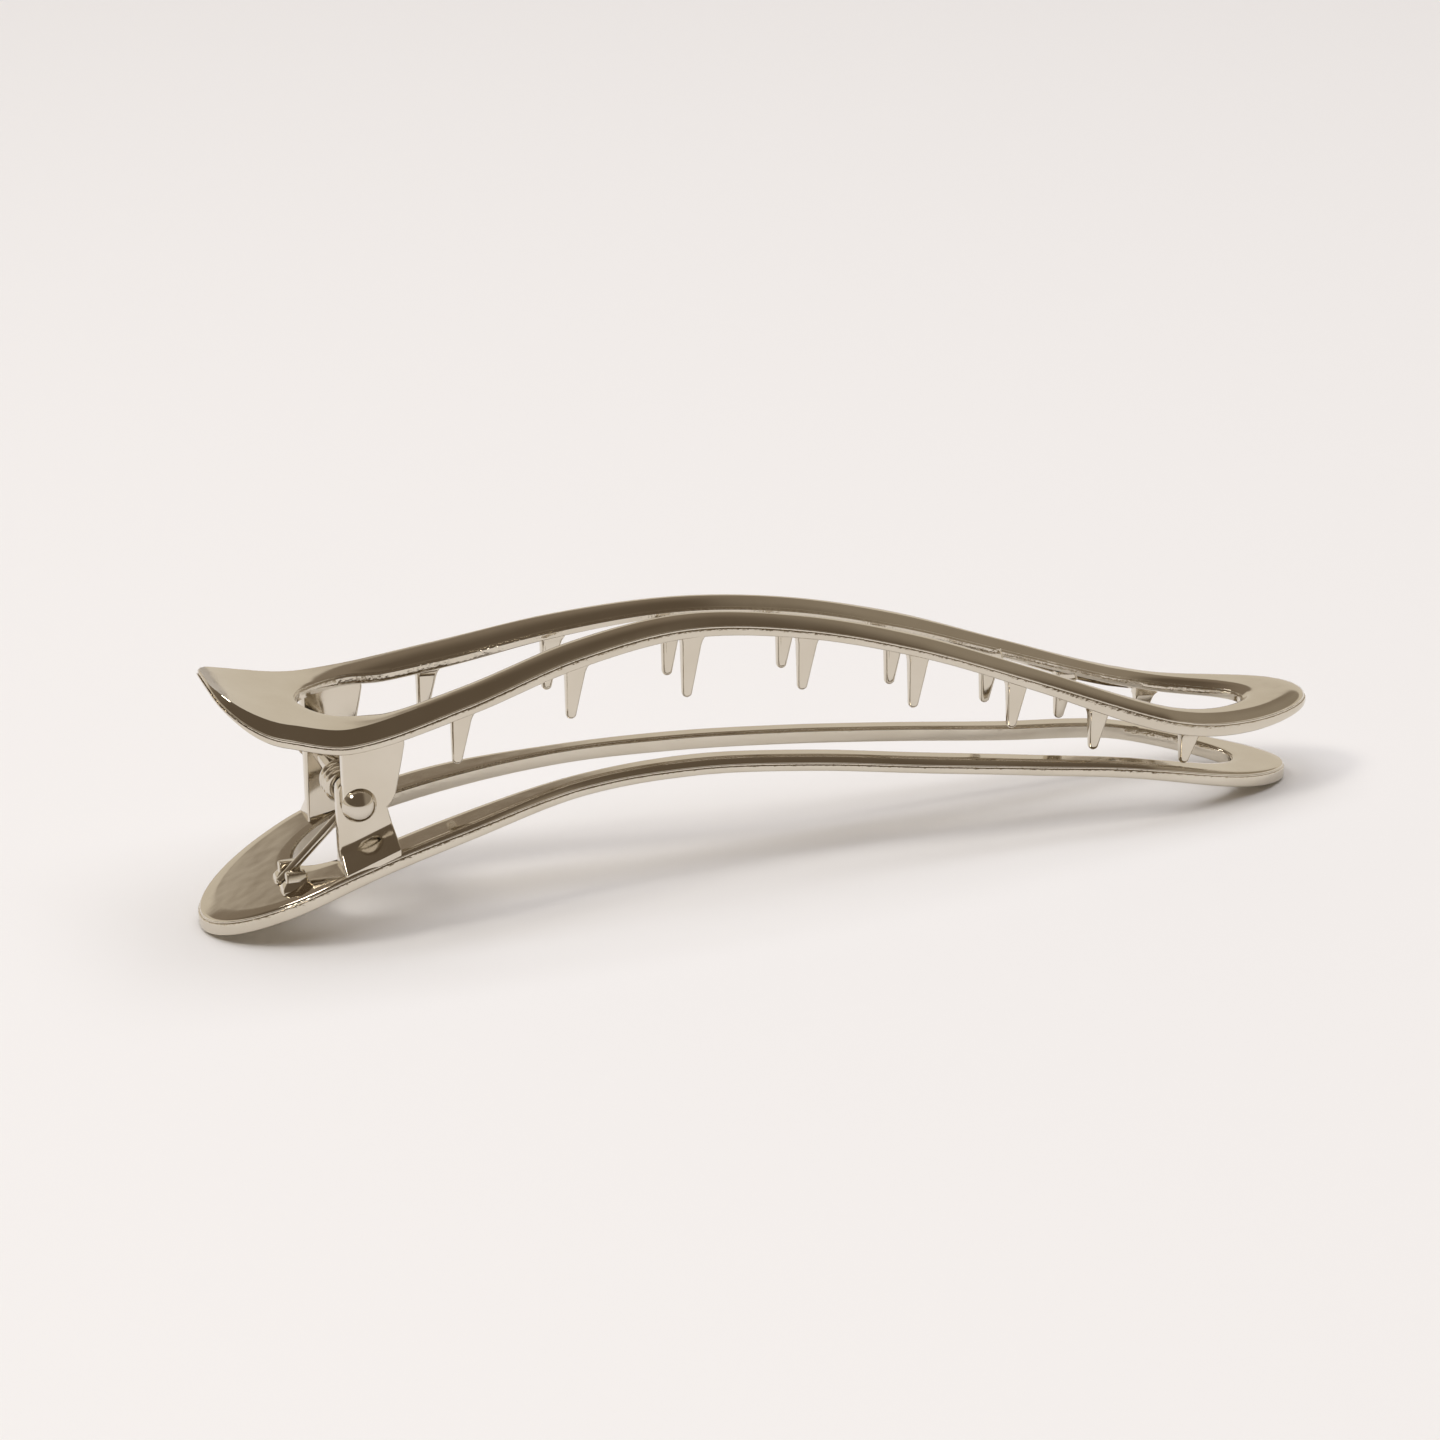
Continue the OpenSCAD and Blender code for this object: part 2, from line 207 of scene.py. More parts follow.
# ---------------------------------------------------------------- materials
def to_linear(colour):
    """An sRGB hex colour as the linear RGBA that shaders take."""
    parts = [int(colour[i:i + 2], 16) / 255 for i in (1, 3, 5)]
    return [v / 12.92 if v <= 0.04045 else ((v + 0.055) / 1.055) ** 2.4 for v in parts] + [1]


def add_node(tree, kind, settings=None, **inputs):
    """Adds a node. An input named like Base_Color is a plain value or another node's socket."""
    node = tree.nodes.new(kind)
    for key, value in (settings or {}).items():
        setattr(node, key, value)
    for key, value in inputs.items():
        socket = node.inputs[int(key[1:])] if key[0] == "_" else node.inputs[key.replace("_", " ")]
        if isinstance(value, bpy.types.NodeSocket):
            tree.links.new(value, socket)
        else:
            socket.default_value = value
    return node


def new_material(name):
    material = bpy.data.materials.new(name)
    material.use_nodes = True
    material.node_tree.nodes.clear()
    return material, material.node_tree


def per_metre(millimetres):
    """The texture scale that repeats once in this many millimetres."""
    return 1000 / millimetres


def bright_nickel(name, warm="#CEC5B4", cool="#DCD5C8"):
    """Bright nickel plate, barrel-polished over a zinc die casting: a warm silvery mirror, a little
    uneven where the polish has rounded the casting, with faint handling scratches, and rougher
    along the parting line."""
    material, tree = new_material(name)
    where = add_node(tree, "ShaderNodeTexCoord").outputs["Object"]
    # the tone of the plate drifts over a few millimetres
    drift = add_node(tree, "ShaderNodeTexNoise", Vector=where, Scale=per_metre(5), Detail=3.0)
    tone = add_node(tree, "ShaderNodeMix", {"data_type": "RGBA"}, Factor=drift.outputs["Fac"],
                    _6=to_linear(warm), _7=to_linear(cool))
    # polish is uneven over about a millimetre
    polish = add_node(tree, "ShaderNodeTexNoise", Vector=where, Scale=per_metre(1.4), Detail=4.0)
    rough = add_node(tree, "ShaderNodeMapRange", Value=polish.outputs["Fac"], From_Min=0.3,
                     From_Max=0.75, To_Min=0.05, To_Max=0.12)
    # casting marks show along the parting line
    line = add_node(tree, "ShaderNodeAttribute", {"attribute_name": "parting_line"}).outputs["Fac"]
    grain = add_node(tree, "ShaderNodeTexNoise", Vector=where, Scale=per_metre(0.45), Detail=4.0)
    patches = add_node(tree, "ShaderNodeTexNoise", Vector=where, Scale=per_metre(3), Detail=1.0)
    worn = add_node(tree, "ShaderNodeMath", {"operation": "MULTIPLY"},
                    _0=patches.outputs["Fac"], _1=line)
    grain_height = add_node(tree, "ShaderNodeMath", {"operation": "MULTIPLY"},
                            _0=grain.outputs["Fac"], _1=worn.outputs[0])
    casting = add_node(tree, "ShaderNodeBump", Strength=1.0, Distance=0.16 * MM,
                       Height=grain_height.outputs[0])
    # orange peel: soft waves about two millimetres long
    peel = add_node(tree, "ShaderNodeTexNoise", Vector=where, Scale=per_metre(2.2), Detail=1.0)
    waves = add_node(tree, "ShaderNodeBump", Strength=1.0, Distance=0.009 * MM,
                     Height=peel.outputs["Fac"], Normal=casting.outputs["Normal"])
    # handling scratches, drawn about 0.06 mm wide so that they show
    stretch = add_node(tree, "ShaderNodeMapping", Vector=where, Rotation=(0.4, 0.9, 0.3),
                       Scale=(1, 14, 14))
    scratch = add_node(tree, "ShaderNodeTexNoise", Vector=stretch.outputs["Vector"],
                       Scale=per_metre(1.6), Detail=2.0)
    lines = add_node(tree, "ShaderNodeMapRange", Value=scratch.outputs["Fac"], From_Min=0.66,
                     From_Max=0.74, To_Min=0.0, To_Max=1.0)
    marks = add_node(tree, "ShaderNodeBump", Strength=0.35, Distance=0.001 * MM,
                     Height=lines.outputs[0], Normal=waves.outputs["Normal"])
    metal = add_node(tree, "ShaderNodeBsdfPrincipled", Base_Color=tone.outputs[2], Metallic=1.0,
                     Roughness=rough.outputs[0], Normal=marks.outputs["Normal"])
    add_node(tree, "ShaderNodeOutputMaterial", Surface=metal.outputs[0])
    return material


def drawn_spring_wire():
    """Nickel-plated spring steel wire, drawn through a die: bright, with fine lines along it."""
    material, tree = new_material("nickel_plated_drawn_wire")
    where = add_node(tree, "ShaderNodeAttribute", {"attribute_name": "wire_way"}).outputs["Vector"]
    # die lines: about 0.1 mm apart round the wire and many times longer along it
    lines = add_node(tree, "ShaderNodeTexNoise", Vector=where, Scale=5.0, Detail=3.0)
    tone = add_node(tree, "ShaderNodeMix", {"data_type": "RGBA"}, Factor=lines.outputs["Fac"],
                    _6=to_linear("#C8BFAF"), _7=to_linear("#E0DACE"))
    rough = add_node(tree, "ShaderNodeMapRange", Value=lines.outputs["Fac"], From_Min=0.3,
                     From_Max=0.7, To_Min=0.08, To_Max=0.18)
    grooves = add_node(tree, "ShaderNodeBump", Strength=1.0, Distance=0.006 * MM,
                       Height=lines.outputs["Fac"])
    metal = add_node(tree, "ShaderNodeBsdfPrincipled", Base_Color=tone.outputs[2], Metallic=1.0,
                     Roughness=rough.outputs[0], Normal=grooves.outputs["Normal"])
    add_node(tree, "ShaderNodeOutputMaterial", Surface=metal.outputs[0])
    return material


def studio_card():
    """Matt coated card under the clip: pale and even, with a faint tooth."""
    material, tree = new_material("matt_white_card")
    where = add_node(tree, "ShaderNodeTexCoord").outputs["Object"]
    tooth = add_node(tree, "ShaderNodeTexNoise", Vector=where, Scale=per_metre(0.6), Detail=2.0)
    relief = add_node(tree, "ShaderNodeBump", Strength=0.05, Distance=0.02 * MM,
                      Height=tooth.outputs["Fac"])
    card = add_node(tree, "ShaderNodeBsdfPrincipled", Base_Color=to_linear("#F1EFEC"),
                    Roughness=0.9, Normal=relief.outputs["Normal"])
    add_node(tree, "ShaderNodeOutputMaterial", Surface=card.outputs[0])
    return material


CASTING_NICKEL = bright_nickel("bright_nickel_on_zinc_casting")
RIVET_NICKEL = bright_nickel("bright_nickel_on_steel_rivet", "#CBC2B2", "#DAD4C9")
SPRING_WIRE = drawn_spring_wire()


# ---------------------------------------------------------------- the two open frames
def half_outline(side, tail, nose):
    """The far half of a plan outline: half ellipse at the tail, stations, half ellipse at the nose."""
    (x0, y0), (x1, y1) = side[0], side[-1]
    last_turn, end_points, side_points = 88, 60, 200
    turn = np.radians(np.linspace(0, last_turn, end_points))
    middle = np.linspace(x0, x1, side_points)
    return np.vstack([np.column_stack([x0 - tail * np.cos(turn), y0 * np.sin(turn)]),
                      np.column_stack([middle, along(side, middle)]),
                      np.column_stack([x1 + nose * np.cos(turn[::-1]), y1 * np.sin(turn[::-1])])])


def cut_tail(path, cut, corner):
    """Ends an outline in a straight edge at x = cut, with a rounded corner."""
    kept = path[path[:, 0] > cut + corner]
    edge_y = np.interp(cut, path[:, 0], path[:, 1])
    join = kept[0]
    start = np.array([cut, edge_y - corner])
    elbow = np.array([cut, edge_y])
    t = np.linspace(0, 1, 7)[:, None]
    bend = (1 - t) ** 2 * start + 2 * t * (1 - t) * elbow + t**2 * join
    straight = np.column_stack([np.full(8, cut), np.linspace(0, edge_y - corner, 9)[:-1]])
    return np.vstack([straight, bend, kept[1:]])


def even_points(path, count):
    """Points at equal steps along a path."""
    run = np.concatenate([[0], np.cumsum(np.linalg.norm(np.diff(path, axis=0), axis=1))])
    at = np.linspace(0, run[-1], count)
    return np.column_stack([np.interp(at, run, path[:, k]) for k in (0, 1)])


def all_round(path, tail_x, nose_x, tail_count=30, rail_count=130, nose_count=34):
    """A closed outline whose points pair up with those of the other edge of the same frame."""
    x, y = path.T
    tail_y, nose_y = np.interp([tail_x, nose_x], x, y)
    tail = even_points(np.vstack([path[x < tail_x], [tail_x, tail_y]]), tail_count)
    nose = even_points(np.vstack([[nose_x, nose_y], path[x > nose_x]]), nose_count)
    rail_x = np.linspace(tail_x, nose_x, rail_count)[1:-1]
    rail = np.column_stack([rail_x, np.interp(rail_x, x, y)])
    half = np.vstack([tail, rail, nose])
    half[0, 1] = half[-1, 1] = 0
    other = half[-2:0:-1] * [1, -1]
    return np.vstack([half, other])


def shoulder_curve(wide, tall, steep, ease, t):
    """How far in and up a shoulder has come at t, from its lip (0) to where it meets the top (1)."""
    fall = np.arctan2(tall, wide)
    steep = np.maximum(np.radians(steep), fall + 0.05)
    ease = np.minimum(np.radians(ease), fall - 0.05)
    reach = (wide * np.sin(ease) - tall * np.cos(ease)) / -np.sin(steep - ease)
    elbow_in, elbow_up = reach * np.cos(steep), reach * np.sin(steep)
    return (2 * t * (1 - t) * elbow_in + t**2 * wide, 2 * t * (1 - t) * elbow_up + t**2 * tall)


def cast_frame(name, inner, outer, crest, depth, shoulder, dip, wall, lip, ledge, skirt=0.0,
               rim=0.1, foot=0.22, top_rows=9):
    """An open frame: one section swept all the way round between its slot edge and outer edge.
    crest, depth, shoulder, dip and wall are functions of x; the section is lip over ledge over wall
    on both edges."""
    across = outer - inner
    wide = np.linalg.norm(across, axis=1)
    way = across / wide[:, None]
    rows, marks = [], []

    def row(from_slot, level, mark=0.0):
        place = inner + way * from_slot[:, None]
        rows.append(np.column_stack([place, level(place[:, 0], from_slot)]))
        marks.append(mark)

    shoulder_wide = np.minimum(shoulder(outer[:, 0])[0], wide * 0.5 - ledge)
    dip_deep, dip_wide = dip(inner[:, 0])
    dip_wide = np.minimum(dip_wide, wide * 0.5)

    def top(x, s):
        return crest(x) - dip_deep * np.maximum(0, 1 - s / dip_wide) ** 2

    rim_level = top(inner[:, 0], np.full(len(inner), ledge))
    under_slot = rim_level - wall(inner[:, 0])
    even = np.ones(len(inner))

    def under(x, s):
        deep = crest(x) - depth(x)
        if not skirt:
            return deep
        rise = np.clip((wide - s - skirt) / (skirt * 0.5), 0, 1)
        shallow = np.maximum(deep, crest(x) - (crest(inner[:, 0]) - under_slot))
        return deep + (shallow - deep) * rise * rise * (3 - 2 * rise)

    # underside, from the slot outwards
    for share in np.linspace(0, 1, 9):
        row(foot + (wide - 2 * foot) * share, under)
    # rounded foot of the outer wall, and the wall up to the parting line
    for turn in np.radians([30, 60, 90]):
        row(wide - foot + foot * math.sin(turn),
            lambda x, s, turn=turn: crest(x) - depth(x) + foot * (1 - math.cos(turn)))

    def lip_base(x, s, drop=0.0):
        return crest(x) - shoulder(x)[1] - lip - drop

    row(wide, lambda x, s: lip_base(x, s, 0.08), 1.0)
    row(wide - ledge * 0.3, lambda x, s: lip_base(x, s, 0.02), 1.0)
    row(wide - ledge, lip_base, 1.0)
    row(wide - ledge, lambda x, s: lip_base(x, s) + lip * 0.6, 0.9)
    # rounded shoulder, from the lip up to the top
    _, tall, steep, ease = shoulder(outer[:, 0])
    for t in np.linspace(0, 1, 12):
        inwards, up = shoulder_curve(shoulder_wide, tall, steep, ease, t)
        row(wide - ledge - inwards, lambda x, s, up=up: crest(x) - tall + up)
    for share in np.linspace(0, 1, top_rows + 2)[1:-1]:
        row((wide - ledge - shoulder_wide) * (1 - share) + (ledge + rim) * share, top)
    # rounded rim of the slot, its lip, the parting line and its wall
    for turn in np.radians([0, 30, 60, 90]):
        row(even * (ledge + rim * (1 - math.sin(turn))),
            lambda x, s, turn=turn: top(x, even * ledge) - rim * (1 - math.cos(turn)))
    row(even * ledge, lambda x, s: top(x, even * ledge) - lip, 1.0)
    row(even * ledge * 0.3, lambda x, s: top(x, even * ledge) - lip - 0.05, 1.0)
    row(even * 0, lambda x, s: top(x, even * ledge) - lip - 0.1, 1.0)
    for turn in np.radians([0, 45]):
        row(even * foot * (1 - math.cos(turn)),
            lambda x, s, turn=turn: under_slot + foot * (1 - math.sin(turn)))
    grid = np.stack(rows, axis=1)
    grid[:, :, 2] = np.maximum(grid[:, :, 2], 0)
    spokes, section = grid.shape[:2]
    piece = make_piece(name, grid.reshape(-1, 3), tube_faces(spokes, section, closed=True),
                       CASTING_NICKEL)
    # the material reads where the parting line is
    line = piece.data.attributes.new("parting_line", "FLOAT", "POINT")
    line.data.foreach_set("value", np.tile(marks, spokes).astype(np.float32))
    return piece


def upper_shoulder(x):
    return (along(SHOULDER_WIDE, x), along(SHOULDER_TALL, x), along(SHOULDER_STEEP, x),
            along(SHOULDER_EASE, x))


upper_outer = cut_tail(half_outline(UPPER_SIDE, UPPER_TAIL, UPPER_NOSE), TAIL_END, TAIL_CORNER)
upper_inner = half_outline(UPPER_SLOT, UPPER_SLOT_TAIL, UPPER_SLOT_NOSE)
upper_frame = cast_frame(
    "upper_frame_casting", all_round(upper_inner, -40, 40), all_round(upper_outer, -40, 40),
    crest=lambda x: along(UPPER_CREST, x), depth=lambda x: along(UPPER_DEPTH, x),
    shoulder=upper_shoulder, dip=lambda x: (along(DIP_DEEP, x), along(DIP_WIDE, x)),
    wall=lambda x: along(SLOT_WALL, x), lip=LIP, ledge=LEDGE, skirt=SKIRT)

lower_outer = half_outline(LOWER_SIDE, LOWER_TAIL, LOWER_NOSE)
lower_inner = half_outline(LOWER_SLOT, LOWER_SLOT_TAIL, LOWER_SLOT_NOSE)
lower_frame = cast_frame(
    "lower_frame_casting", all_round(lower_inner, -41, 38), all_round(lower_outer, -41, 38),
    crest=lambda x: along(LOWER_TOP, x), depth=lower_depth,
    shoulder=lambda x: (along(LOWER_EDGE, x), along(LOWER_EDGE, x), 75 + 0 * x, 15 + 0 * x),
    dip=lambda x: (0 * x, 1 + 0 * x), wall=lower_depth,
    lip=LOWER_LIP, ledge=LOWER_LEDGE, rim=LOWER_RIM, foot=LOWER_FOOT, top_rows=5)


# ---------------------------------------------------------------- teeth
def under_upper(x):
    return float(along(UPPER_CREST, x) - along(UPPER_DEPTH, x))


def tooth(x, y, length):
    """A cast tooth: upright on the tail side, slanted on the tip side, thinner towards a round end."""
    root = under_upper(x + TOOTH_ROOT / 2)
    tip, r = root - length, TOOTH_TIP / 2
    levels = [(root + 1, x, x + TOOTH_ROOT, y - 0.65, y + 0.65, 0.4)]
    for share in (0, 0.06, 0.15, 0.35, 0.6, 0.85, 1):
        z = root + (tip + r - root) * share
        flare = 0.22 * max(0, 1 - share / 0.15) ** 2
        half = (TOOTH_WIDE * (1 - share) + TOOTH_TIP * share) / 2 + flare * 0.6
        long = TOOTH_ROOT * (1 - share) + TOOTH_TIP * share
        levels.append((z, x - flare * 0.5, x + long + flare, y - half, y + half, 0.34))
    for turn in np.radians([20, 40, 58, 74, 86]):
        half, inset = r * math.cos(turn), r * (1 - math.cos(turn))
        levels.append((tip + r - r * math.sin(turn), x + inset, x + TOOTH_TIP - inset,
                       y - half, y + half, 0.34))
    return stack(levels[::-1])


teeth_rows = {}
for side, name in ((-1, "near"), (1, "far")):
    points, faces = join_parts([tooth(x, side * y, length) for x, y, length in TEETH])
    teeth_rows[name] = make_piece(f"cast_teeth_{name}_rail", points, faces, CASTING_NICKEL)


# ---------------------------------------------------------------- ears
def upper_ear(side, name):
    """An ear of the upper casting: it narrows on the tip side and ends in a round lobe at the rivet."""
    back = PIN_X - UPPER_EAR_BEHIND
    front = back + UPPER_EAR_LEN
    outer, inner = side * EAR_OUT, side * (EAR_OUT - UPPER_EAR_T)
    lobe, shelf, straight, top = 1.6, PIN_Z - 0.45, 20, 21.4
    corner = 0.28

    def front_at(z):
        return front - UPPER_EAR_NARROWS * min(1, max(0, (straight - z) / (straight - PIN_Z - 0.5)))

    def lobe_at(z):
        return math.sqrt(max(0.02, lobe**2 - (z - PIN_Z) ** 2))

    levels = []
    for turn in np.radians(np.linspace(88, 20, 9)):
        z = PIN_Z - lobe * math.sin(turn)
        levels.append((z, PIN_X - lobe_at(z), PIN_X + lobe_at(z), inner, outer, corner))
    shelf_front = front_at(shelf) - 0.5
    levels += [(shelf - 0.02, PIN_X - lobe_at(shelf), PIN_X + lobe_at(shelf), inner, outer, corner),
               (shelf, back, shelf_front - 0.25, inner, outer, corner)]
    for rise, inset in ((0.08, 0.08), (0.22, 0.0), (0.5, -0.22), (0.8, -0.4)):
        z = shelf + rise
        levels.append((z, back, min(front_at(z), shelf_front - inset), inner, outer, corner))
    for z in np.linspace(shelf + 1.2, top, 6):
        levels.append((z, back, front_at(z), inner, outer, corner))
    return make_piece(name, *stack(levels), CASTING_NICKEL)


def lower_ear(side, name):
    """An ear of the lower casting: it stands just inside the upper ear, on a foot that flares out."""
    back = PIN_X - LOWER_EAR_BEHIND
    front = back + LOWER_EAR_LEN
    waist_front = front - LOWER_EAR_NARROWS
    outer = EAR_OUT - UPPER_EAR_T - EAR_GAP
    inner = outer - LOWER_EAR_T
    waist, top, corner = PIN_Z - 1, PIN_Z + 2, 0.25
    foot_out, foot_height, rail_slope = 2.1, 2, 0.36
    base = float(along(LOWER_TOP, back))
    height = waist - base
    levels, leans = [], []
    # the foot follows the rail's slope, which fades out up the ear
    for rise in (-0.5, 0.1, 0.5, 1, 1.5, 1.9, 2.1, 3, 4):
        spread = foot_out * min(1, max(0, (foot_height - rise) / (foot_height - 0.1)))
        narrow = LOWER_EAR_NARROWS * max(0, rise) / height
        levels.append((base + rise, back, front - narrow, inner * side, (outer + spread) * side,
                       corner))
        leans.append(rail_slope * min(1, max(0, (height - rise) / (height - foot_height))))
    levels.append((waist, back, waist_front, inner * side, outer * side, corner))
    # above the waist it narrows faster, and its back corner is rounded
    for rise in (0.6, 0.8, 0.92, 0.98, 1):
        corner_in = 0.8 * max(0, (rise - 0.7) / 0.3) ** 2
        levels.append((waist + (top - waist) * rise, back + corner_in, waist_front - 1.2 * rise,
                       inner * side, outer * side, corner))
    points, faces = stack(levels)
    around = len(points) // len(levels)
    leans += [0] * (len(levels) - len(leans))
    points = [(x, y, z + leans[i // around] * (x - back)) for i, (x, y, z) in enumerate(points)]
    return make_piece(name, points, faces, CASTING_NICKEL)


upper_ears = [upper_ear(-1, "upper_ear_cast_near"), upper_ear(1, "upper_ear_cast_far")]
lower_ears = [lower_ear(-1, "lower_ear_cast_near"), lower_ear(1, "lower_ear_cast_far")]

# ---------------------------------------------------------------- spring stops
# where a pair of lugs starts, its length and height, the gap between the two, and their thickness
STOP_X, STOP_LEN, STOP_H, STOP_GAP, STOP_T = -51.4, 2.1, 1.4, 2, 1


def stop_lug(y, base, away):
    """A low cast lug with bevelled top edges and a flared foot. away is 1 upwards and -1 downwards."""
    levels = []
    for rise, grow, corner in ((-0.6, 0.5, 0.2), (-0.1, 0.42, 0.2), (0.15, 0.25, 0.2),
                               (0.4, 0.05, 0.18), (0.5, 0, 0.18), (STOP_H - 0.2, 0, 0.18),
                               (STOP_H - 0.05, -0.1, 0.15), (STOP_H, -0.2, 0.1)):
        levels.append((base + away * rise, STOP_X - grow, STOP_X + STOP_LEN + grow,
                       y - STOP_T / 2 - grow * 0.7, y + STOP_T / 2 + grow * 0.7, corner))
    return stack(levels)


def stop_pair(name, y, base, away):
    half = (STOP_GAP + STOP_T) / 2
    points, faces = join_parts([stop_lug(y - half, base, away), stop_lug(y + half, base, away)])
    return make_piece(name, points, faces, CASTING_NICKEL)


stop_middle = STOP_X + STOP_LEN / 2
lower_stops = stop_pair("lower_spring_lugs", LOWER_LEG_Y, float(along(LOWER_TOP, stop_middle)), 1)
upper_stops = stop_pair("upper_spring_lugs", UPPER_LEG_Y, under_upper(stop_middle), -1)


# ---------------------------------------------------------------- rivet
def rivet():
    """One steel rivet turned about Y: a shaft with a domed head at each end."""
    ball = (HEAD_D**2 / 4 + HEAD_H**2) / (2 * HEAD_H)
    head = []
    for a in np.linspace(0, 1, 14) * math.asin(HEAD_D / 2 / ball):
        head.append((ball * math.sin(a), EAR_OUT + HEAD_H - ball * (1 - math.cos(a))))
    head[0] = (0.02, head[0][1])
    head += [(HEAD_D / 2, EAR_OUT + 0.03), (HEAD_D / 2 - 0.05, EAR_OUT - 0.02),
             (RIVET_D / 2, EAR_OUT - 0.02)]
    profile = [(r, -y) for r, y in head] + [(r, y) for r, y in head[::-1]]
    around = 64
    points = []
    for r, y in profile:
        for j in range(around):
            a = 2 * math.pi * j / around
            points.append((PIN_X + r * math.cos(a), y, PIN_Z + r * math.sin(a)))
    return make_piece("domed_rivet", points, tube_faces(len(profile), around), RIVET_NICKEL)


hinge_rivet = rivet()

# ---------------------------------------------------------------- torsion spring
def spring_line():
    """The wire's middle line: lower leg, coil, upper leg."""
    r = COIL_D / 2

    def on_coil(degrees, y):
        a = math.radians(degrees)
        return np.array([PIN_X + r * math.cos(a), y, PIN_Z + r * math.sin(a)])

    def leg(degrees, sign, length, y):
        a = math.radians(degrees)
        return on_coil(degrees, y) + sign * length * np.array([-math.sin(a), 0, math.cos(a)])

    sweep = 360 * COIL_TURNS + UPPER_LEG_TURN - LOWER_LEG_TURN
    degrees_a_step = 9
    count = round(sweep / degrees_a_step)
    line = [leg(LOWER_LEG_TURN, -1, length, LOWER_LEG_Y)
            for length in np.linspace(LOWER_LEG_LEN, 0, 13)[:-1]]
    line += [on_coil(LOWER_LEG_TURN + sweep * i / count, LOWER_LEG_Y + COIL_LEN * i / count)
             for i in range(count + 1)]
    line += [leg(UPPER_LEG_TURN, 1, length, UPPER_LEG_Y)
             for length in np.linspace(0, UPPER_LEG_LEN, 11)[1:]]
    return np.array(line)


def wire_piece(name, line, radius, around=20):
    """A round wire along a line, each end cut square with a small chamfer."""
    way = np.gradient(line, axis=0)
    way /= np.linalg.norm(way, axis=1)[:, None]
    side = np.cross(way, [0, 1, 0])
    side /= np.linalg.norm(side, axis=1)[:, None]
    up = np.cross(side, way)
    run = np.concatenate([[0], np.cumsum(np.linalg.norm(np.diff(line, axis=0), axis=1))])
    chamfer, stretch = 0.1, 12
    # each ring: which point of the line, how far past it, radius
    rings = [(0, -chamfer, radius - chamfer)] + [(i, 0, radius) for i in range(len(line))]
    rings += [(len(line) - 1, chamfer, radius - chamfer)]
    points, coordinates = [], []
    for i, past, r in rings:
        for j in range(around):
            a = 2 * math.pi * j / around
            points.append(line[i] + way[i] * past + r * (math.cos(a) * side[i] + math.sin(a) * up[i]))
            coordinates.append((math.cos(a), math.sin(a), run[i] / stretch))
    piece = make_piece(name, points, tube_faces(len(rings), around), SPRING_WIRE)
    wire_way = piece.data.attributes.new("wire_way", "FLOAT_VECTOR", "POINT")
    wire_way.data.foreach_set("vector", np.array(coordinates, np.float32).ravel())
    return piece


spring = wire_piece("coiled_spring_wire", spring_line(), WIRE_D / 2)

# ---------------------------------------------------------------- what rides on what
for piece, body, slot, nodes in (
        (upper_frame, "upper_jaw", "plated_casting", ["upper_frame"]),
        (teeth_rows["near"], "upper_jaw", "plated_casting", ["upper_teeth_near"]),
        (teeth_rows["far"], "upper_jaw", "plated_casting", ["upper_teeth_far"]),
        (upper_ears[0], "upper_jaw", "plated_casting", ["upper_ear_near"]),
        (upper_ears[1], "upper_jaw", "plated_casting", ["upper_ear_far"]),
        (upper_stops, "upper_jaw", "plated_casting", ["upper_spring_stops"]),
        (lower_frame, "lower_jaw", "plated_casting", ["lower_frame"]),
        (lower_ears[0], "lower_jaw", "plated_casting", ["lower_ear_near"]),
        (lower_ears[1], "lower_jaw", "plated_casting", ["lower_ear_far"]),
        (lower_stops, "lower_jaw", "plated_casting", ["lower_spring_stops"]),
        (hinge_rivet, "upper_jaw", "plated_rivet", ["hinge_rivet"])):
    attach(piece, body)
    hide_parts(*nodes)
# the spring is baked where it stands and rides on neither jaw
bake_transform(spring)
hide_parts("torsion_spring")

# ---------------------------------------------------------------- floor, light and camera
bpy.ops.mesh.primitive_plane_add(size=5, location=(0, 0, 0))
floor = bpy.context.object
floor.name = "studio_floor"
floor.data.materials.append(studio_card())

world = bpy.data.worlds.new("soft_studio")
bpy.context.scene.world = world
world.use_nodes = True
sky = world.node_tree
sky.nodes.clear()
facing = add_node(sky, "ShaderNodeSeparateXYZ",
                  Vector=add_node(sky, "ShaderNodeTexCoord").outputs["Generated"])
# a pale sweep round the table, higher at the back, with the dim room over it
lean = add_node(sky, "ShaderNodeMath", {"operation": "MULTIPLY_ADD"}, _0=facing.outputs["Y"],
                _1=-0.2, _2=facing.outputs["Z"])
above = add_node(sky, "ShaderNodeMapRange", {"interpolation_type": "SMOOTHSTEP"},
                 Value=lean.outputs[0], From_Min=0.195, From_Max=0.26)
behind = add_node(sky, "ShaderNodeMapRange", {"interpolation_type": "SMOOTHSTEP"},
                  Value=facing.outputs["Y"], From_Min=-0.4, From_Max=0.7)
room = add_node(sky, "ShaderNodeMix", {"data_type": "RGBA"}, Factor=behind.outputs[0],
                _6=(0.14, 0.108, 0.078, 1), _7=(0.27, 0.22, 0.17, 1))
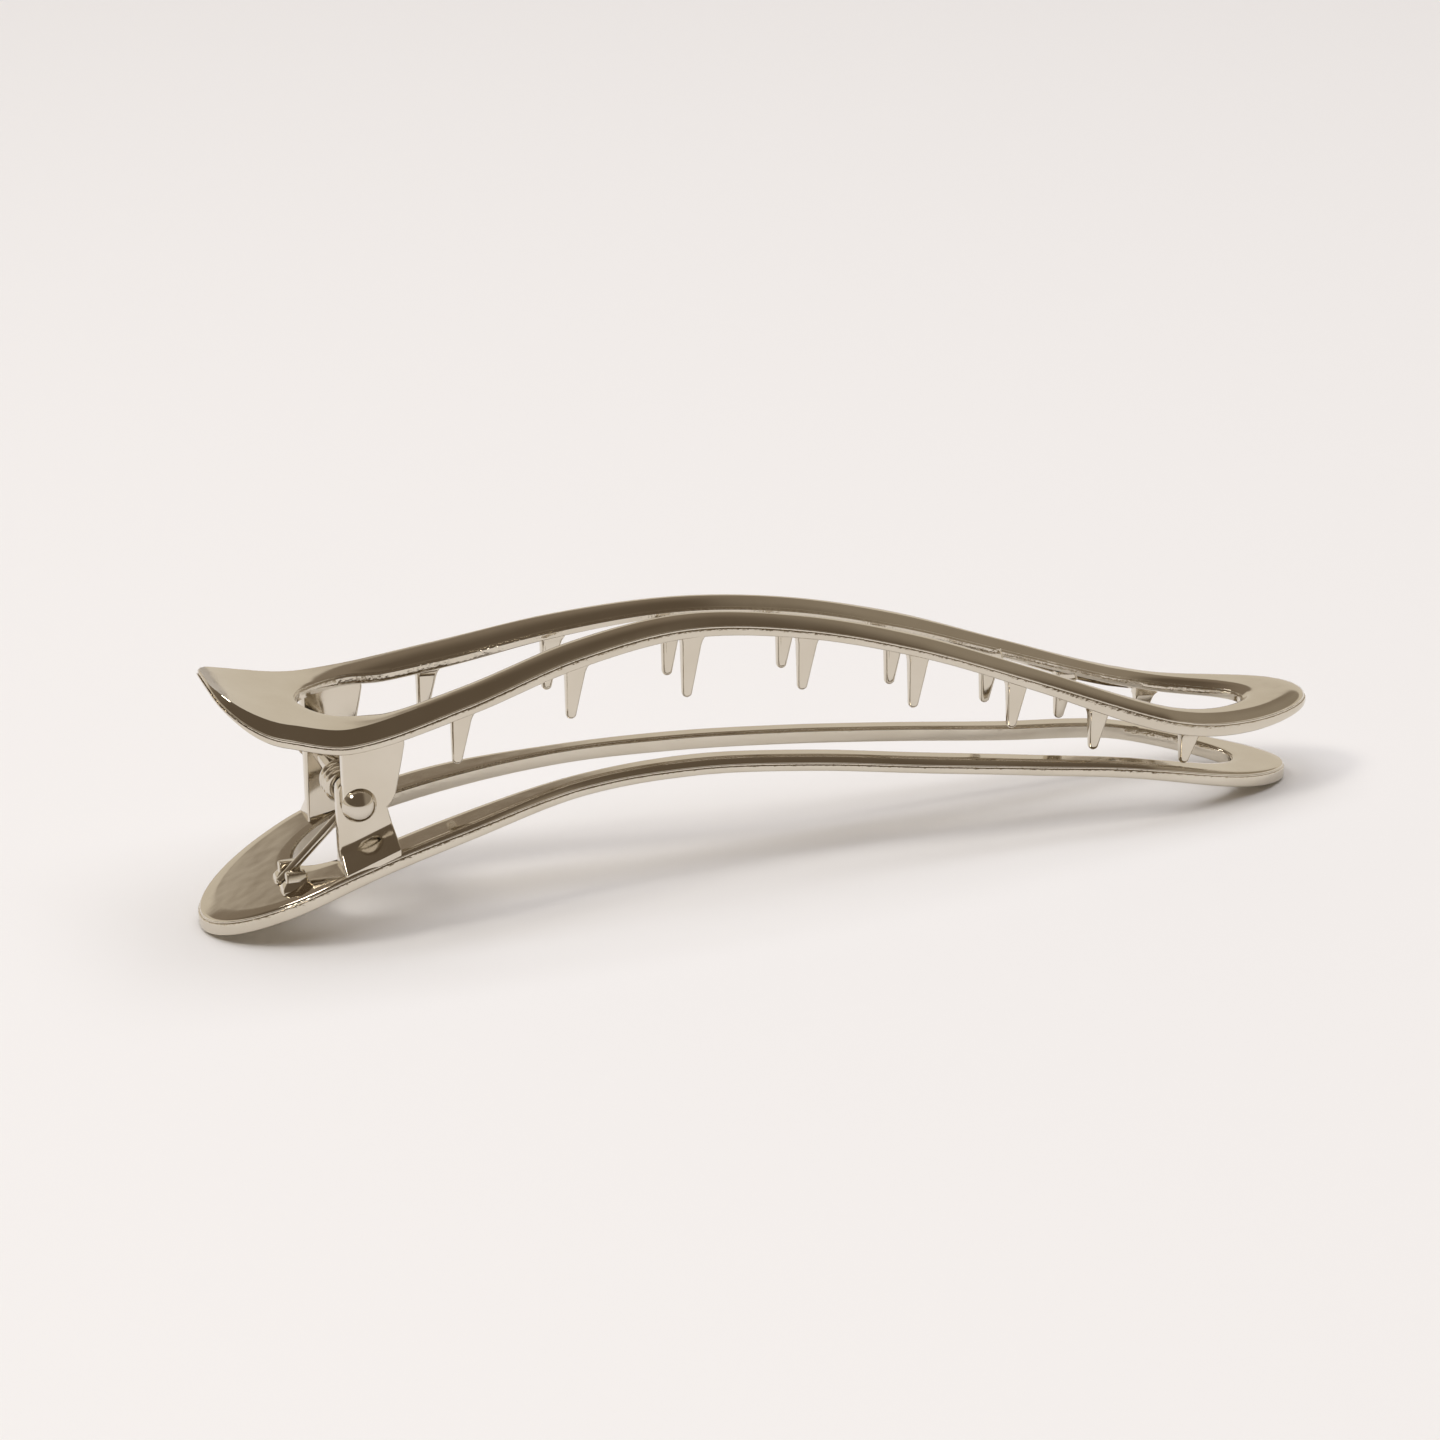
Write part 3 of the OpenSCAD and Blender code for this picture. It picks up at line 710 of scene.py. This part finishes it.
# the room is lighter beyond the tips
beyond = add_node(sky, "ShaderNodeMapRange", {"interpolation_type": "SMOOTHSTEP"},
                  Value=facing.outputs["X"], From_Min=0.35, From_Max=0.7)
whole_room = add_node(sky, "ShaderNodeMix", {"data_type": "RGBA"}, Factor=beyond.outputs[0],
                      _6=room.outputs[2], _7=(0.34, 0.29, 0.23, 1))
round_it = add_node(sky, "ShaderNodeMix", {"data_type": "RGBA"}, Factor=above.outputs[0],
                    _6=(0.73, 0.665, 0.57, 1), _7=whole_room.outputs[2])
glow = add_node(sky, "ShaderNodeBackground", Color=round_it.outputs[2], Strength=1.0)
add_node(sky, "ShaderNodeOutputWorld", Surface=glow.outputs[0])


def area_light(name, place, aim, size, power, colour, seen_in_metal):
    light = bpy.data.lights.new(name, "AREA")
    light.shape = "RECTANGLE"
    light.size, light.size_y = size
    light.energy = power
    light.color = to_linear(colour)[:3]
    lamp = bpy.data.objects.new(name, light)
    lamp.location = place
    lamp.rotation_euler = (Vector(aim) - Vector(place)).to_track_quat("-Z", "Y").to_euler()
    lamp.visible_glossy = seen_in_metal
    lamp.visible_camera = False
    bpy.context.scene.collection.objects.link(lamp)


area_light("overhead_softbox", (0.0, 0.0, 1.1), (0, 0, 0), (1.6, 1.6), 14.5, "#F3F6FF", False)
area_light("left_softbox", (-0.75, -0.1, 1.0), (0, 0, 0.02), (0.3, 0.25), 3, "#FFFAF2", True)

# where the camera looks from and towards; its distance is in metres, its lens in millimetres
AZIMUTH, ELEVATION, ROLL = math.radians(-18.03), math.radians(21.57), math.radians(-1.026)
DISTANCE, TARGET = 0.51593, Vector((-4.935, 0, 14.508)) * MM
LENS = 128.6425
camera_data = bpy.data.cameras.new("front_left_camera")
camera_data.sensor_width = 36
camera_data.lens = LENS
camera_data.clip_start, camera_data.clip_end = 0.01, 20
camera = bpy.data.objects.new("front_left_camera", camera_data)
ahead = Vector((-math.sin(AZIMUTH) * math.cos(ELEVATION), math.cos(AZIMUTH) * math.cos(ELEVATION),
                -math.sin(ELEVATION)))
level = Vector((math.cos(AZIMUTH), math.sin(AZIMUTH), 0))
upright = level.cross(ahead)
right = level * math.cos(ROLL) + upright * math.sin(ROLL)
up = upright * math.cos(ROLL) - level * math.sin(ROLL)
turn = Matrix((right, up, -ahead)).transposed().to_4x4()
camera.matrix_world = Matrix.Translation(TARGET - ahead * DISTANCE) @ turn
bpy.context.scene.collection.objects.link(camera)
bpy.context.scene.camera = camera
bpy.context.scene.view_settings.view_transform = "Standard"
